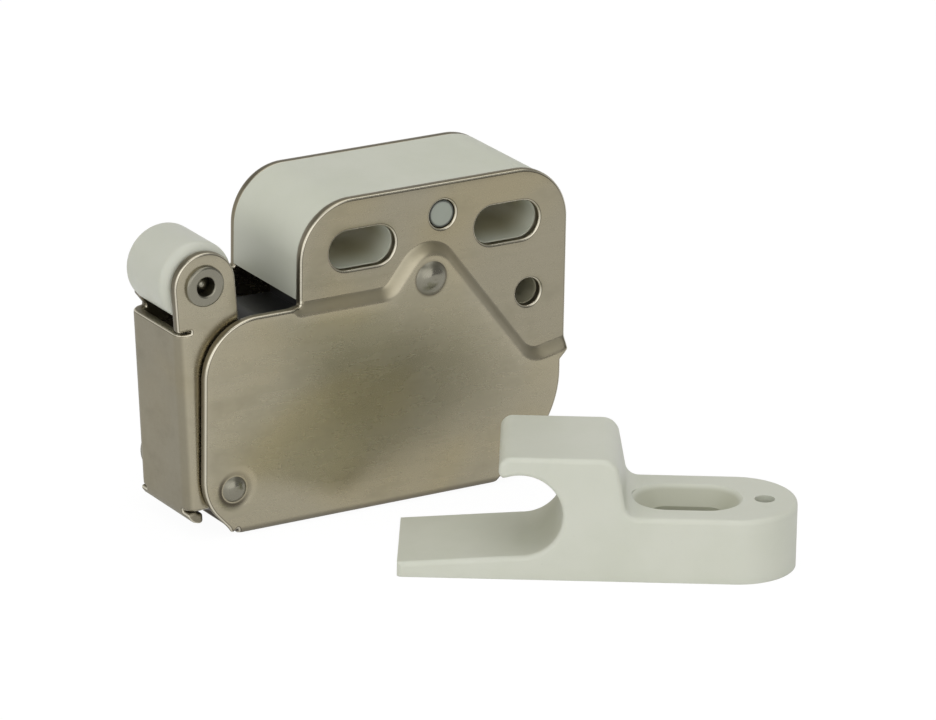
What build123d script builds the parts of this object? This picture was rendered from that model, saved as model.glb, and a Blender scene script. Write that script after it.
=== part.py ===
"""A push-to-open roller latch and the strike that it holds, in millimetres.

The latch is a folded sheet casing on a moulded spacer block. A roller arm swings
in the casing, pushed out by a torsion spring. A wire follower on the arm runs in
the track of a rocking cam, which holds the arm in until the door is pushed again.

X runs along the plates, Z is up, and Y runs away from the near plate and out of
the mounting face. The origin is midway between the screw slots, on that face.
"""
from build123d import *
from math import atan2, cos, degrees, hypot, pi, radians, sin, tan
import os

# --- Casing ---------------------------------------------------------------
sheet = 1.0                  # thickness of the casing sheet
case_depth = 14.4            # near plate's upper face to the mounting face
pan_rise = 0.8               # how far the pan stands out of the near plate
top_z = 5.3                  # top edge above the slot line
foot_z = -27.2               # underside below the slot line
block_half = 15.25           # half the length of the upper zone
pan_left = -26.2
far_left = -25.0             # the far plate stops short of the pan's left edge
far_inset = 0.2              # and its upper half lies inside the block's edges
shoulder_step = 0.9          # how far the pan's right edge steps in
pan_top_z = -4.8
shoulder_z = -14.2           # where the right edge steps in to the pan
corner_r = 5.8               # the large outline corners
left_chamfer = 4.0
right_chamfer = 6.9
right_corner_r = 10.0
bend_r = 0.9                 # outer radius of the folds into the bottom web
bend_inner_r = 0.3
edge_r = 0.28                # punched and drawn edges
relief_r = 0.45              # relief notches beside the ends of the folds
relief_in = 0.9              # and how far up the slanted edges they are cut
draw_wall = 0.6              # wall left by the pan's inner step

# --- Holes shared by the plates and the block -----------------------------
slot_spacing = 16.5
slot_length = 7.4
slot_width = 4.0
peg_x, peg_z = 0.8, 2.05
peg_hole_r = 1.45
peg_clearance = 0.1
peg_recess = 0.25
fixing_x, fixing_z = 10.85, -7.65
fixing_r = 1.4

# --- Rivets ---------------------------------------------------------------
cam_x, cam_z = -0.85, -4.05          # centre rivet and cam pivot
cam_rivet_r = 1.2
cam_head_r, cam_head_h = 1.75, 0.75
pivot_x, pivot_z = -22.8, -22.25     # arm pivot
pivot_rivet_r = 1.0
pivot_head_r, pivot_head_h = 1.35, 0.55
dimple_r, dimple_depth = 1.75, 0.2
tail_flare = 0.5                     # how much a rivet's tail spreads
tail_recess = 0.1                    # the tail lies below the mounting face
rivet_clearance = 0.05

# --- Step between the pan and the upper zone ------------------------------
apex_r = 3.2                 # round the centre rivet
flank_angle = 52.0
step_z = pan_top_z           # the step runs on from the pan's top edge
step_low_z = -14.1
step_rise = 2.6              # rise of the step towards the right edge
step_run = 9.0
step_blend_r = 1.5
step_low_r = 2.0
block_gap = 0.35             # block to the step
block_inset = 0.1            # block inside the plates' edges

# --- Roller arm -----------------------------------------------------------
arm_near_gap = 0.3           # the pan to the arm
arm_far_gap = 2.7            # the arm to the far plate
arm_sheet = 1.0
arm_lean = 3.6               # outward lean at rest, degrees
web_face = -4.55             # outer face of the arm's web, from the pivot
flange_edge = 2.2
arm_foot = -2.6
web_top = 16.6
web_foot = -1.9
arm_bend_r = 1.3
arm_bend_inner_r = 0.3
flange_round_r = 2.4
lip_r = 1.4
lip_relief = 0.2
lip_notch = 2.9              # the flanges are cut back this far beside the lip
axle_v, axle_u = -1.5, 21.2          # roller axle across and along the arm
near_ear_r = 3.3
far_ear_r = 2.6
ear_notch_v = -3.15          # the ears are cut free of the web's bend to here
near_ear_v = -4.65           # the near ear's outer edge, above the bend
far_ear_v = -3.9             # and the far ear's
far_ear_u = 18.0
ear_foot = 16.9              # ears are cut free of the web's bend above this
hook_v, hook_u = 0.3, 11.0           # hole for the wire follower
wire_r = 0.5
wire_clearance = 0.05

# --- Roller ---------------------------------------------------------------
roller_r = 4.0
roller_side_gap = 0.2
roller_edge_r = 0.9
axle_r = 1.3
axle_bore_r = 0.95
axle_head_r, axle_head_t = 2.05, 0.45
axle_tail_r, axle_tail_t = 1.8, 0.4
axle_fit = 0.1               # roller on its axle, radial

# --- Pivot bushes ---------------------------------------------------------
bush_r = 1.8
bush_flange_r = 2.8
bush_fit = 0.05              # arm on its bushes, radial
bush_end_gap = 0.05

# --- Cam ------------------------------------------------------------------
sleeve_r = 2.0
sleeve_bore_r = 1.25
cam_fit = 0.05               # cam on its sleeve, radial
hub_r = 2.8
hub_gap = 0.3                # hub behind the near plate
cam_face_gap = 0.3           # cam plate behind the follower's long leg
cam_back_gap = 0.9           # cam plate before the arm's far flange
wall_r = 2.3                 # plate around each corner of the track
track_width = 1.5
track_depth = 1.9
track_floor_gap = 0.3
follower_reach = 14.7        # from the hook to the pin, along X
arm_in, arm_out = 6.0, 40.0          # swing from rest, degrees
cam_swing = 20.0
stop_r = 0.6
stop_x = -13.0
stop_gap = 0.25
notch_r = 0.7
lug_r = 0.6
lug_reach = 6.0
lug_angle = 222.0
lug_end_gap = 0.7            # lug before the far plate
junction_r = 10.1            # wide turn of the track at the cam's inner end
junction_half = 1.12
notch_reach, notch_angle = 11.1, 212.7
neck_angle = 222.0
follower_gap = 0.2           # the follower's long leg behind the near flange
follower_tail = 0.5          # and its tail beyond the arm's far flange
wire_bend_r = 1.0

# --- Springs --------------------------------------------------------------
main_wire_r = 0.45
main_far_gap = 1.2           # coil's middle line to the arm's far flange
main_near_gap = 0.7          # and at least this far from the near one
main_start_angle = 184.2
main_coil_r = 2.9
main_pitch = 1.05
main_end_angle = 266.7
main_leg_up = 9.0
main_leg_out = 10.0
cam_wire_r = 0.25
cam_coil_r = 2.5
cam_pitch = 0.53
cam_coil_gap = 0.7           # coil's middle line behind the cam plate
cam_start_angle = 308.0
cam_end_angle = 270.0
cam_turns = 3
cam_leg_lug = 7.0
cam_leg_block = 6.0

# --- Strike ---------------------------------------------------------------
strike_angle = -32.4         # turned about Z, as it lies beside the latch
strike_x, strike_y = -4.4, -38.1     # mouth centre on the near face
strike_width = 12.6
leg_length = 11.75
leg_end_t = 1.43
mouth_r = 4.1
mouth_z = 6.45               # mouth centre above the strike's base
nose_tip = 2.12
nose_top = 12.4
nose_right = 9.15
nose_foot = 10.3
strike_base_h = 6.5
strike_right = 26.8
strike_end_r = 6.0
nose_left_r = 1.2
nose_right_r = 1.7
nose_foot_r = 1.4
nose_lip_r = 0.6
strike_edge_r = 0.5
recess_x = 16.1
recess_length = 10.8
recess_width = 7.2
screw_slot_width = 3.8
pin_hole_x = 23.6
pin_hole_r = 1.0

# --- Places worked out from the sizes -------------------------------------
near_y = -case_depth                         # upper zone, outer face
near_inner_y = near_y + sheet
pan_y = near_y - pan_rise                    # pan, outer face
pan_inner_y = pan_y + sheet
far_inner_y = -sheet
web_left = pan_left + left_chamfer
pan_right = block_half - shoulder_step
web_right = pan_right - right_chamfer
foot_top_z = foot_z + sheet
arm_near_y = pan_inner_y + arm_near_gap
arm_far_y = far_inner_y - arm_far_gap
arm_mid_y = (arm_near_y + arm_far_y) / 2
arm_width = arm_far_y - arm_near_y
arm_gap_near_y = arm_near_y + arm_sheet      # inner faces of the flanges
arm_gap_far_y = arm_far_y - arm_sheet
follower_y = arm_gap_near_y + follower_gap + wire_r
cam_face_y = follower_y + wire_r + cam_face_gap
cam_back_y = arm_gap_far_y - cam_back_gap
cam_plate_t = cam_back_y - cam_face_y
lug_end_y = far_inner_y - lug_end_gap
follower_back_y = arm_far_y + follower_tail
pin_end_y = cam_face_y + track_depth - track_floor_gap
main_start_y = arm_gap_far_y - main_far_gap
main_room = main_start_y - arm_gap_near_y - main_near_gap
main_turns = int(main_room / main_pitch - (main_end_angle - main_start_angle) / 360)
cam_start_y = cam_back_y + cam_coil_gap
lean = radians(arm_lean)
flank = radians(flank_angle)


def front(y):
    """Plane facing the viewer at depth y, with X to the right and Z up."""
    return Plane(origin=(0, y, 0), x_dir=(1, 0, 0), z_dir=(0, -1, 0))


def arm_plane(y):
    """As front, but on the arm's pivot and leaning with the arm."""
    return Plane(
        origin=(pivot_x, y, pivot_z), x_dir=(cos(lean), 0, sin(lean)), z_dir=(0, -1, 0)
    )


def on_arm(v, u):
    """X and Z of the point v across and u along the arm, at rest."""
    return (
        pivot_x + v * cos(lean) - u * sin(lean),
        pivot_z + v * sin(lean) + u * cos(lean),
    )


def spin_plane(x, z):
    """Section plane of a turned piece: its axis is local Y, along world Y."""
    return Plane(origin=(x, 0, z), x_dir=(1, 0, 0), z_dir=(0, 0, 1))


def polar(radius, angle):
    """X and Z at a radius and an angle in degrees about the cam pivot."""
    return (cam_x + radius * cos(radians(angle)), cam_z + radius * sin(radians(angle)))


def outline(corners):
    """Face through the corners (x, z, radius), each corner rounded to its radius."""
    with BuildSketch() as face:
        with BuildLine():
            Polyline(*[(x, z) for x, z, _ in corners], close=True)
        make_face()
        for x, z, radius in corners:
            if radius:
                fillet(face.vertices().sort_by_distance((x, z, 0))[0], radius)
    return face.sketch


def save(label, shape):
    """Label a finished piece and write its STEP file."""
    shape.label = label
    export_step(shape, f"parts/{label}.step")


os.makedirs("parts", exist_ok=True)

# --- Outlines used by more than one piece ---------------------------------
def plate(left, inset=0.0):
    """Outline of a plate: its lower half's left edge, and how far its upper half shrinks."""
    return outline([
        (web_left, foot_z, 0),
        (left, foot_z + web_left - left, corner_r),
        (left, pan_top_z, corner_r),
        (inset - block_half, pan_top_z, 0),
        (inset - block_half, top_z - inset / 2, corner_r - inset),
        (block_half - inset, top_z - inset / 2, corner_r - inset),
        (block_half - inset, shoulder_z - inset, 0),
        (pan_right, shoulder_z - shoulder_step, 0),
        (pan_right, foot_z + right_chamfer, right_corner_r),
        (web_right, foot_z, 0),
    ])


near_outline, far_outline = plate(pan_left), plate(far_left, far_inset)

apex_z = cam_z + apex_r / cos(flank)
beyond = 12.0                # the pan's region runs this far past the plate
pan_region = outline([
    (pan_left - beyond, step_z, 0),
    (cam_x - (apex_z - step_z) / tan(flank), step_z, step_blend_r),
    (cam_x, apex_z, apex_r),
    (cam_x + (apex_z - step_low_z) / tan(flank), step_low_z, step_low_r),
    (block_half + step_run, step_low_z + step_rise, 0),
    (block_half + step_run, foot_z - beyond, 0),
    (pan_left - beyond, foot_z - beyond, 0),
])


def section(points):
    """Face through the (radius, y) points of a turned outline."""
    return outline([(radius, y, 0) for radius, y in points])


def rivet(label, x, z, shank_r, head_r, head_h, seat_y):
    """Domed rivet from its seat on the pan to a flared tail in the far plate."""
    flare_h = tail_flare / tan(radians(41))
    tail_y = -tail_recess
    with BuildPart() as piece:
        with BuildSketch(spin_plane(x, z)):
            with BuildLine():
                ThreePointArc(
                    (0, seat_y - head_h),
                    (head_r * 0.64, seat_y - head_h * 0.72),
                    (head_r, seat_y),
                )
                Polyline(
                    (head_r, seat_y),
                    (shank_r, seat_y),
                    (shank_r, tail_y - flare_h),
                    (shank_r + tail_flare, tail_y),
                    (0, tail_y),
                    (0, seat_y - head_h),
                )
            make_face()
        revolve(axis=Axis((x, 0, z), (0, 1, 0)))
    save(label, piece.part)


# --- Casing: near plate with its pan, bottom web and far plate ------------
def at_y(edges, y):
    """Edges whose middle lies at depth y."""
    return edges.filter_by(lambda edge: abs(edge.center().Y - y) < 0.01)


with BuildPart() as casing:
    with BuildSketch(front(near_inner_y)):
        add(near_outline)
    extrude(amount=sheet)
    with BuildSketch(front(near_y)):
        add(near_outline)
        add(pan_region, mode=Mode.INTERSECT)
    extrude(amount=pan_rise)
    with BuildSketch(front(near_inner_y)):
        add(pan_region)
        offset(amount=-draw_wall)
        with Locations((-block_half - draw_wall, step_z)):
            Rectangle(beyond, beyond, align=(Align.MAX, Align.CENTER))
    extrude(amount=pan_rise, mode=Mode.SUBTRACT)
    with BuildSketch(front(0)):
        add(far_outline)
    extrude(amount=sheet)
    with BuildSketch(Plane.XY.offset(foot_z)):
        with Locations(((web_left + web_right) / 2, pan_y / 2)):
            Rectangle(web_right - web_left, -pan_y)
    extrude(amount=sheet)

    folds = casing.edges().filter_by(Axis.X).group_by(Axis.Z)[0].sort_by(Axis.Y)
    fillet([folds[0], folds[-1]], bend_r)
    web_top_edges = casing.edges().filter_by(Axis.X).filter_by_position(
        Axis.Z, foot_top_z - 0.01, foot_top_z + 0.01
    )
    fillet(at_y(web_top_edges, pan_inner_y) + at_y(web_top_edges, far_inner_y), bend_inner_r)
    with BuildSketch(front(0)):
        with Locations(
            (web_left - relief_in, foot_z + relief_in),
            (web_right + relief_in, foot_z + relief_in),
        ):
            Circle(relief_r)
    extrude(amount=case_depth + pan_rise, mode=Mode.SUBTRACT)

    pan_edges = at_y(casing.edges(), pan_y)
    fillet([e for e in pan_edges if abs(e.center().Z - foot_z - bend_r) > 0.02], edge_r)
    near_edges = [e for e in at_y(casing.edges(), near_y) if e.center().X > -block_half - 0.01]
    fillet([
        e for e in near_edges if abs(e.center().X) > block_half - 0.1 or e.center().Z > 0
    ], edge_r)
    fillet([
        e for e in at_y(casing.edges(), near_y)
        if abs(e.center().X) < block_half - edge_r and shoulder_z < e.center().Z < 0
    ], edge_r)

    with BuildSketch(front(0)):
        with Locations((-slot_spacing / 2, 0), (slot_spacing / 2, 0)):
            SlotOverall(slot_length, slot_width)
        with Locations((peg_x, peg_z)):
            Circle(peg_hole_r)
        with Locations((fixing_x, fixing_z)):
            Circle(fixing_r)
        with Locations((cam_x, cam_z)):
            Circle(cam_rivet_r + rivet_clearance)
        with Locations((pivot_x, pivot_z)):
            Circle(pivot_rivet_r + rivet_clearance)
    extrude(amount=case_depth + pan_rise, mode=Mode.SUBTRACT)
    with BuildSketch(front(pan_y + dimple_depth)):
        with Locations((pivot_x, pivot_z)):
            Circle(dimple_r)
    extrude(amount=dimple_depth, mode=Mode.SUBTRACT)
    for x, z, shank_r in ((cam_x, cam_z, cam_rivet_r), (pivot_x, pivot_z, pivot_rivet_r)):
        sink_r = shank_r + rivet_clearance
        sink_top_r = sink_r + tail_flare + tail_recess * tan(radians(41))
        with BuildSketch(spin_plane(x, z)):
            add(section([
                (0, 0),
                (sink_top_r, 0),
                (sink_r, -(sink_top_r - sink_r) / tan(radians(41))),
                (0, -(sink_top_r - sink_r) / tan(radians(41))),
            ]))
        revolve(axis=Axis((x, 0, z), (0, 1, 0)), mode=Mode.SUBTRACT)
save("casing", casing.part)

# --- Spacer block ---------------------------------------------------------
block_end = block_half - block_inset
block_top = top_z - block_inset
with BuildPart() as block:
    with BuildSketch(front(far_inner_y)):
        with BuildLine():
            Polyline(
                (-block_end, block_top),
                (block_end, block_top),
                (block_end, step_low_z),
                (-block_end, step_low_z),
                close=True,
            )
        make_face()
        with BuildSketch(mode=Mode.PRIVATE) as cleared:
            add(pan_region)
            offset(amount=block_gap)
        add(cleared.sketch, mode=Mode.SUBTRACT)
        with Locations((-slot_spacing / 2, 0), (slot_spacing / 2, 0)):
            SlotOverall(slot_length, slot_width, mode=Mode.SUBTRACT)
        with Locations((fixing_x, fixing_z)):
            Circle(fixing_r, mode=Mode.SUBTRACT)
    extrude(amount=far_inner_y - near_inner_y)
    fillet(
        block.edges().filter_by(Axis.Y).group_by(Axis.Z)[-1],
        corner_r - block_inset,
    )
    with BuildSketch(front(-peg_recess)):
        with Locations((peg_x, peg_z)):
            Circle(peg_hole_r - peg_clearance)
    extrude(amount=case_depth - 2 * peg_recess)
save("spacer_block", block.part)

# --- Roller arm -----------------------------------------------------------
arm_section = Plane(
    origin=(pivot_x - arm_foot * sin(lean), 0, pivot_z + arm_foot * cos(lean)),
    x_dir=(cos(lean), 0, sin(lean)),
    z_dir=(-sin(lean), 0, cos(lean)),
)
with BuildPart() as arm:
    with BuildSketch(arm_section):
        add(outline([
            (flange_edge, arm_near_y, 0),
            (web_face, arm_near_y, arm_bend_r),
            (web_face, arm_far_y, arm_bend_r),
            (flange_edge, arm_far_y, 0),
            (flange_edge, arm_gap_far_y, 0),
            (web_face + arm_sheet, arm_gap_far_y, arm_bend_inner_r),
            (web_face + arm_sheet, arm_gap_near_y, arm_bend_inner_r),
            (flange_edge, arm_gap_near_y, 0),
        ]))
    extrude(amount=web_top - arm_foot)
    with BuildSketch(arm_plane(arm_far_y)):
        add(outline([
            (web_face - arm_sheet, arm_foot - arm_sheet, 0),
            (web_face + lip_notch, arm_foot - arm_sheet, 0),
            (web_face + lip_notch, web_foot, arm_bend_inner_r),
            (web_face - arm_sheet, web_foot, 0),
        ]))
    extrude(amount=arm_width, mode=Mode.SUBTRACT)
    for y, ear_r, ear_v, ear_u in (
        (arm_gap_near_y, near_ear_r, near_ear_v, ear_foot),
        (arm_far_y, far_ear_r, far_ear_v, far_ear_u),
    ):
        with BuildSketch(arm_plane(y)):
            add(outline([
                (ear_notch_v, web_top - arm_sheet, 0),
                (ear_notch_v, ear_foot, 0),
                (ear_v, ear_u, 0),
                (axle_v - ear_r, axle_u, 0),
                (axle_v + ear_r, axle_u, 0),
                (flange_edge, web_top - arm_sheet, 0),
            ]))
            with Locations((axle_v, axle_u)):
                Circle(ear_r)
        extrude(amount=arm_sheet)
    with BuildSketch(arm_plane(arm_far_y - lip_relief)):
        with BuildLine():
            lip_v, lip_u = web_face + lip_r, web_foot
            CenterArc((lip_v, lip_u), lip_r, 180, 90)
            CenterArc((lip_v, lip_u), lip_r - arm_sheet, 180, 90)
            Line((lip_v - lip_r, lip_u), (lip_v - lip_r + arm_sheet, lip_u))
            Line((lip_v, lip_u - lip_r), (lip_v, lip_u - lip_r + arm_sheet))
        make_face()
    extrude(amount=arm_width - 2 * lip_relief)
    with BuildSketch(arm_plane(arm_far_y)):
        Circle(bush_r + bush_fit)
        with Locations((axle_v, axle_u)):
            Circle(axle_r)
    extrude(amount=arm_width, mode=Mode.SUBTRACT)
    with BuildSketch(arm_plane(arm_far_y)):
        with Locations((hook_v, hook_u)):
            Circle(wire_r + wire_clearance)
    extrude(amount=arm_sheet, mode=Mode.SUBTRACT)
    foot_corner = on_arm(flange_edge, arm_foot)
    corner_edges = arm.edges().filter_by(Axis.Y).filter_by(
        lambda edge: hypot(edge.center().X - foot_corner[0], edge.center().Z - foot_corner[1]) < 0.01
    )
    fillet(corner_edges, flange_round_r)
save("roller_arm", arm.part)

# --- Roller and its axle --------------------------------------------------
roller_x, roller_z = on_arm(axle_v, axle_u)
roller_length = arm_gap_far_y - arm_gap_near_y - 2 * roller_side_gap
with BuildPart() as roller:
    with BuildSketch(front(arm_gap_far_y - roller_side_gap)):
        with Locations((roller_x, roller_z)):
            Circle(roller_r)
    extrude(amount=roller_length)
    fillet(roller.edges(), roller_edge_r)
    with BuildSketch(front(arm_gap_far_y)):
        with Locations((roller_x, roller_z)):
            Circle(axle_r + axle_fit)
    extrude(amount=roller_length + 2 * roller_side_gap, mode=Mode.SUBTRACT)
save("roller", roller.part)

with BuildPart() as axle:
    with BuildSketch(spin_plane(roller_x, roller_z)):
        add(section([
            (axle_bore_r, arm_near_y - axle_head_t),
            (axle_head_r, arm_near_y - axle_head_t),
            (axle_head_r, arm_near_y),
            (axle_r, arm_near_y),
            (axle_r, arm_far_y),
            (axle_tail_r, arm_far_y),
            (axle_tail_r, arm_far_y + axle_tail_t),
            (axle_bore_r, arm_far_y + axle_tail_t),
        ]))
    revolve(axis=Axis((roller_x, 0, roller_z), (0, 1, 0)))
    rims = axle.edges().filter_by(GeomType.CIRCLE).sort_by(Axis.Y)
    head_rim = [e for e in rims if abs(e.radius - axle_head_r) < 0.01][0]
    bore_rim = [e for e in rims if abs(e.radius - axle_bore_r) < 0.01][0]
    fillet(head_rim, axle_head_t * 0.6)
    fillet(bore_rim, axle_head_t * 0.5)
save("roller_axle", axle.part)

# --- Arm pivot: a rivet through two bushes --------------------------------
for label, plate_y, flange_y in (
    ("pivot_bush_near", pan_inner_y, arm_near_y - bush_end_gap),
    ("pivot_bush_far", far_inner_y, arm_far_y + bush_end_gap),
):
    with BuildPart() as bush:
        with BuildSketch(spin_plane(pivot_x, pivot_z)):
            add(section([
                (pivot_rivet_r + rivet_clearance, plate_y),
                (bush_flange_r, plate_y),
                (bush_flange_r, flange_y),
                (bush_r, flange_y),
                (bush_r, arm_mid_y),
                (pivot_rivet_r + rivet_clearance, arm_mid_y),
            ]))
        revolve(axis=Axis((pivot_x, 0, pivot_z), (0, 1, 0)))
    save(label, bush.part)
rivet(
    "arm_pivot_rivet", pivot_x, pivot_z, pivot_rivet_r, pivot_head_r, pivot_head_h,
    pan_y + dimple_depth,
)

# --- Cam pivot: a rivet through a sleeve ----------------------------------
rivet("centre_rivet", cam_x, cam_z, cam_rivet_r, cam_head_r, cam_head_h, pan_y)
with BuildPart() as sleeve:
    with BuildSketch(front(far_inner_y)):
        with Locations((cam_x, cam_z)):
            Circle(sleeve_r)
            Circle(sleeve_bore_r, mode=Mode.SUBTRACT)
    extrude(amount=far_inner_y - pan_inner_y)
save("centre_sleeve", sleeve.part)

# --- Cam ------------------------------------------------------------------
lane_x, lane_z = pivot_x + follower_reach, pivot_z      # the pin swings about here
lane_r = hypot(hook_v, hook_u)
lane_rest = degrees(atan2(hook_u, hook_v)) + arm_lean
lane_start, lane_end = lane_rest - arm_in, lane_rest + arm_out


def from_cam(x, z):
    """Radius and angle in degrees of a point about the cam pivot."""
    return (hypot(x - cam_x, z - cam_z), degrees(atan2(z - cam_z, x - cam_x)) % 360)


def lane_point(angle):
    """The pin's place when the arm stands at this angle."""
    return (lane_x + lane_r * cos(radians(angle)), lane_z + lane_r * sin(radians(angle)))


def arc_slot(x, z, radius, start, end, width):
    """Round-ended slot along an arc, from its start to its end angle."""
    with BuildSketch() as lane:
        with BuildLine(mode=Mode.PRIVATE) as middle:
            CenterArc((x, z), radius, start, end - start)
        SlotArc(middle.wire(), width)
    return lane.sketch


inner_r, inner_angle = from_cam(*lane_point(lane_start))
outer_r, outer_angle = from_cam(*lane_point(lane_end))
set_x, set_z = polar(from_cam(lane_x, lane_z)[0], from_cam(lane_x, lane_z)[1] - cam_swing)
track_ends = [
    (inner_r, inner_angle),
    (inner_r, inner_angle - cam_swing),
    (outer_r, outer_angle),
    (outer_r, outer_angle - cam_swing),
]
with BuildPart() as cam:
    with BuildSketch(front(cam_back_y)):
        with Locations(*[polar(*end) for end in track_ends]):
            Circle(wall_r)
        make_hull()
    extrude(amount=cam_plate_t)
    with BuildSketch(front(cam_back_y)):
        with Locations(polar(inner_r, neck_angle)):
            Circle(wall_r)
        with Locations((cam_x, cam_z)):
            Circle(hub_r)
        make_hull()
    extrude(amount=cam_plate_t)
    with BuildSketch(front(cam_back_y)):
        with Locations((cam_x, cam_z)):
            Circle(hub_r)
    extrude(amount=cam_back_y - near_inner_y - hub_gap)
    with BuildSketch(front(cam_back_y)):
        with Locations((stop_x, step_z + block_gap - stop_gap - stop_r), (stop_x, step_z - 2)):
            Circle(stop_r)
        make_hull()
    extrude(amount=cam_plate_t)
    with BuildSketch(front(lug_end_y)):
        with Locations(polar(lug_reach, lug_angle)):
            Circle(lug_r)
    extrude(amount=lug_end_y - cam_back_y)
    with BuildSketch(front(cam_face_y + track_depth)):
        add(arc_slot(lane_x, lane_z, lane_r, lane_start, lane_end, track_width))
        add(arc_slot(
            set_x, set_z, lane_r, lane_start - cam_swing, lane_end - cam_swing, track_width,
        ))
        add(arc_slot(cam_x, cam_z, outer_r, outer_angle - cam_swing, outer_angle, track_width))
        add(arc_slot(
            cam_x, cam_z, junction_r, inner_angle - cam_swing, inner_angle, 2 * junction_half,
        ))
        with Locations(polar(notch_reach, notch_angle)):
            Circle(notch_r)
    extrude(amount=track_depth, mode=Mode.SUBTRACT)
    with BuildSketch(front(0)):
        with Locations((cam_x, cam_z)):
            Circle(sleeve_r + cam_fit)
    extrude(amount=case_depth, mode=Mode.SUBTRACT)
save("cam_rocker", cam.part)

# --- Follower wire --------------------------------------------------------
hook_x, hook_z = on_arm(hook_v, hook_u)
with BuildPart() as follower:
    with BuildLine() as wire_line:
        FilletPolyline(
            (hook_x, follower_back_y, hook_z),
            (hook_x, follower_y, hook_z),
            (hook_x + follower_reach, follower_y, hook_z),
            (hook_x + follower_reach, pin_end_y, hook_z),
            radius=wire_bend_r,
        )
    with BuildSketch(front(follower_back_y)):
        with Locations((hook_x, hook_z)):
            Circle(wire_r)
    sweep(path=wire_line.wire())
save("follower_wire", follower.part)


# --- Torsion springs ------------------------------------------------------
def torsion_spring(
    label, x, z, coil_r, thickness, start_y, pitch, start, turns, end, leg_in, leg_out
):
    """Coil about a Y axis with a straight leg at each end, on the helix's tangents.

    It turns anticlockwise for the viewer, from the start to the end angle after the
    whole turns, and comes nearer by one pitch a turn (further off if it is negative).
    """
    hand = 1 if pitch > 0 else -1
    turned = radians(360 * turns + (end - start) % 360)
    rise = abs(pitch) / (2 * pi)
    height = rise * turned
    slant = hypot(coil_r, rise)
    along, up = coil_r / slant, rise / slant
    begin = radians(start)
    coil_plane = Plane(
        origin=(x, start_y, z), x_dir=(cos(begin), 0, sin(begin)), z_dir=(0, -hand, 0)
    )
    with BuildLine() as middle:
        Line((coil_r, -hand * along * leg_in, -up * leg_in), (coil_r, 0, 0))
        Helix(abs(pitch), height, coil_r, lefthand=hand < 0)
        tip = (coil_r * cos(turned), hand * coil_r * sin(turned), height)
        Line(tip, (
            tip[0] - along * leg_out * sin(turned),
            tip[1] + hand * along * leg_out * cos(turned),
            tip[2] + up * leg_out,
        ))
    path = middle.wire().moved(coil_plane.location)
    with BuildPart() as spring:
        with BuildSketch(Plane(origin=path @ 0, z_dir=path % 0)):
            Circle(thickness)
        sweep(path=path)
    save(label, spring.part)


torsion_spring(
    "arm_spring", pivot_x, pivot_z, main_coil_r, main_wire_r, main_start_y, main_pitch,
    main_start_angle, main_turns, main_end_angle, main_leg_up, main_leg_out,
)
torsion_spring(
    "cam_spring", cam_x, cam_z, cam_coil_r, cam_wire_r, cam_start_y, -cam_pitch,
    cam_start_angle, cam_turns, cam_end_angle, cam_leg_lug, cam_leg_block,
)

# --- Strike ---------------------------------------------------------------
turn = radians(strike_angle)
strike_front = Plane(
    origin=(strike_x, strike_y, foot_z), x_dir=(cos(turn), sin(turn), 0), z_dir=(sin(turn), -cos(turn), 0)
)
strike_top = Plane(
    origin=(strike_x, strike_y, foot_z + strike_base_h), x_dir=(cos(turn), sin(turn), 0), z_dir=(0, 0, 1)
)
tip_z = mouth_z + (mouth_r**2 - nose_tip**2) ** 0.5
with BuildSketch() as profile:
    with BuildLine():
        Polyline(
            (0, mouth_z - mouth_r),
            (-leg_length, leg_end_t),
            (-leg_length, 0),
            (strike_right, 0),
            (strike_right, strike_base_h),
            (nose_foot, strike_base_h),
            (nose_right, nose_top),
            (-nose_tip, nose_top),
            (-nose_tip, tip_z),
        )
        ThreePointArc(
            (-nose_tip, tip_z),
            (mouth_r * cos(radians(20)), mouth_z + mouth_r * sin(radians(20))),
            (0, mouth_z - mouth_r),
        )
    make_face()
    for x, z, radius in (
        (-nose_tip, nose_top, nose_left_r),
        (nose_right, nose_top, nose_right_r),
        (nose_foot, strike_base_h, nose_foot_r),
        (-nose_tip, tip_z, nose_lip_r),
    ):
        fillet(profile.vertices().sort_by_distance((x, z, 0))[0], radius)
with BuildPart() as strike:
    with BuildSketch(strike_front):
        add(profile.sketch)
    extrude(amount=-strike_width)
    local = strike_front.to_local_coords
    ends = strike.edges().filter_by(Axis.Z).filter_by(
        lambda edge: abs(local(edge.center()).X - strike_right) < 0.01
    )
    fillet(ends, strike_end_r)
    rims = strike.edges().filter_by(
        lambda edge: abs(local(edge @ 0.5).Y) > 0.01
        and (abs(local(edge @ 0.5).Z) < 0.01 or abs(local(edge @ 0.5).Z + strike_width) < 0.01)
    )
    fillet(rims, strike_edge_r)
    with BuildSketch(strike_top):
        with Locations((recess_x, strike_width / 2)):
            SlotOverall(recess_length, recess_width)
    extrude(amount=nose_foot_r, mode=Mode.SUBTRACT)
    with BuildSketch(strike_top):
        with Locations((recess_x, strike_width / 2)):
            SlotOverall(recess_length, recess_width)
    extrude(amount=-(recess_width - screw_slot_width) / 2, taper=45, mode=Mode.SUBTRACT)
    with BuildSketch(strike_top):
        with Locations((recess_x, strike_width / 2)):
            SlotOverall(recess_length - recess_width + screw_slot_width, screw_slot_width)
        with Locations((pin_hole_x, strike_width / 2)):
            Circle(pin_hole_r)
    extrude(amount=-strike_base_h, mode=Mode.SUBTRACT)
save("strike", strike.part)
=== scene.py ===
"""Dresses a push-to-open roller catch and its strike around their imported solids.

Lengths inside the shape functions are in millimetres; the properties and the meshes
are in metres. X runs along the plates, Z is up and Y runs away from the near plate.
"""

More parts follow.
